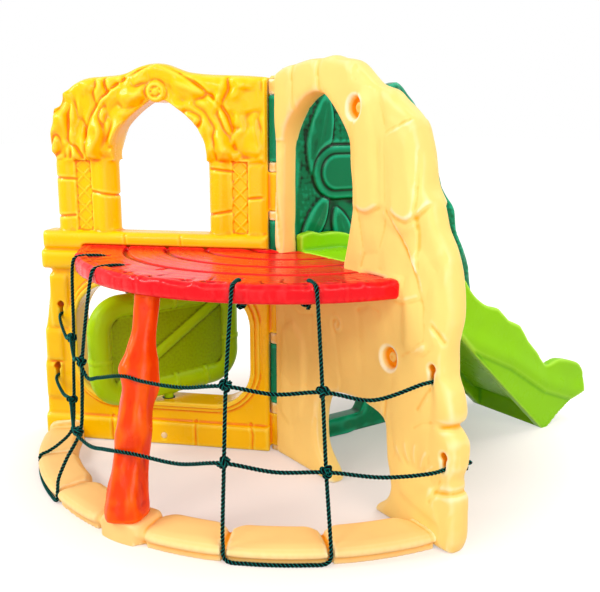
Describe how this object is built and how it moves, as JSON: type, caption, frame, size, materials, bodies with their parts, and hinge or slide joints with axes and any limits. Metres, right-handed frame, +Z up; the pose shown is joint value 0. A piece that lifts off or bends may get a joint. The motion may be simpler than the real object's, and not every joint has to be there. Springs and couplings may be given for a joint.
{
  "type": "toddler climbing gym",
  "caption": "Moulded toddler climbing gym: hinged window, rock and leaf walls, fan-shaped platform on a trunk post, slide, turning gate and rope climbing net.",
  "frame": {"origin": "on the axis of the hinge rod that joins the three walls, at the floor", "axes": "+Z up, +X along the rock wall, +Y along the leaf wall and down the slide"},
  "size_m": [1.2841, 1.63, 1.107],
  "materials": {
    "wall_yellow": "satin moulded plastic",
    "rock_cream": "matte moulded plastic with a stone grain",
    "wall_green": "matte moulded plastic with a stippled grain",
    "deck_red": "satin moulded plastic",
    "trunk_orange": "satin moulded plastic with a bark grain",
    "slide_lime": "smooth moulded plastic",
    "gate_lime": "satin moulded plastic",
    "rope_green": "laid synthetic rope",
    "rod_steel": "zinc plated",
    "bolt_dark": "black coated",
    "screw_zinc": "zinc plated",
    "bush_dark": "moulded",
    "plug_cream": "moulded"
  },
  "bodies": {
    "gym": {"window_wall": "wall_yellow", "rock_wall": "rock_cream", "leaf_wall": "wall_green", "hinge_rod": "rod_steel", "rod_cap": "rock_cream", "platform": "deck_red", "platform_bolts": "bolt_dark", "trunk_post": "trunk_orange", "stone_ring": "rock_cream", "ring_bolts": "bolt_dark", "slide": "slide_lime", "slide_screws": "screw_zinc", "gate_bushes": "bush_dark", "rope_left": "rope_green", "rope_right": "rope_green", "rope_upper": "rope_green", "rope_lower": "rope_green", "net_knots": "rope_green", "wall_knots": "rope_green", "deck_knots": "rope_green", "drain_plug": "plug_cream"},
    "gate": {"gate": "gate_lime"}
  },
  "joints": [
    {"name": "gate_spin", "type": "hinge", "parent": "gym", "child": "gate", "pos_m": [-0.23893, -0.23893, 0.311], "axis": [0, 0, 1], "continuous": true}
  ]
}
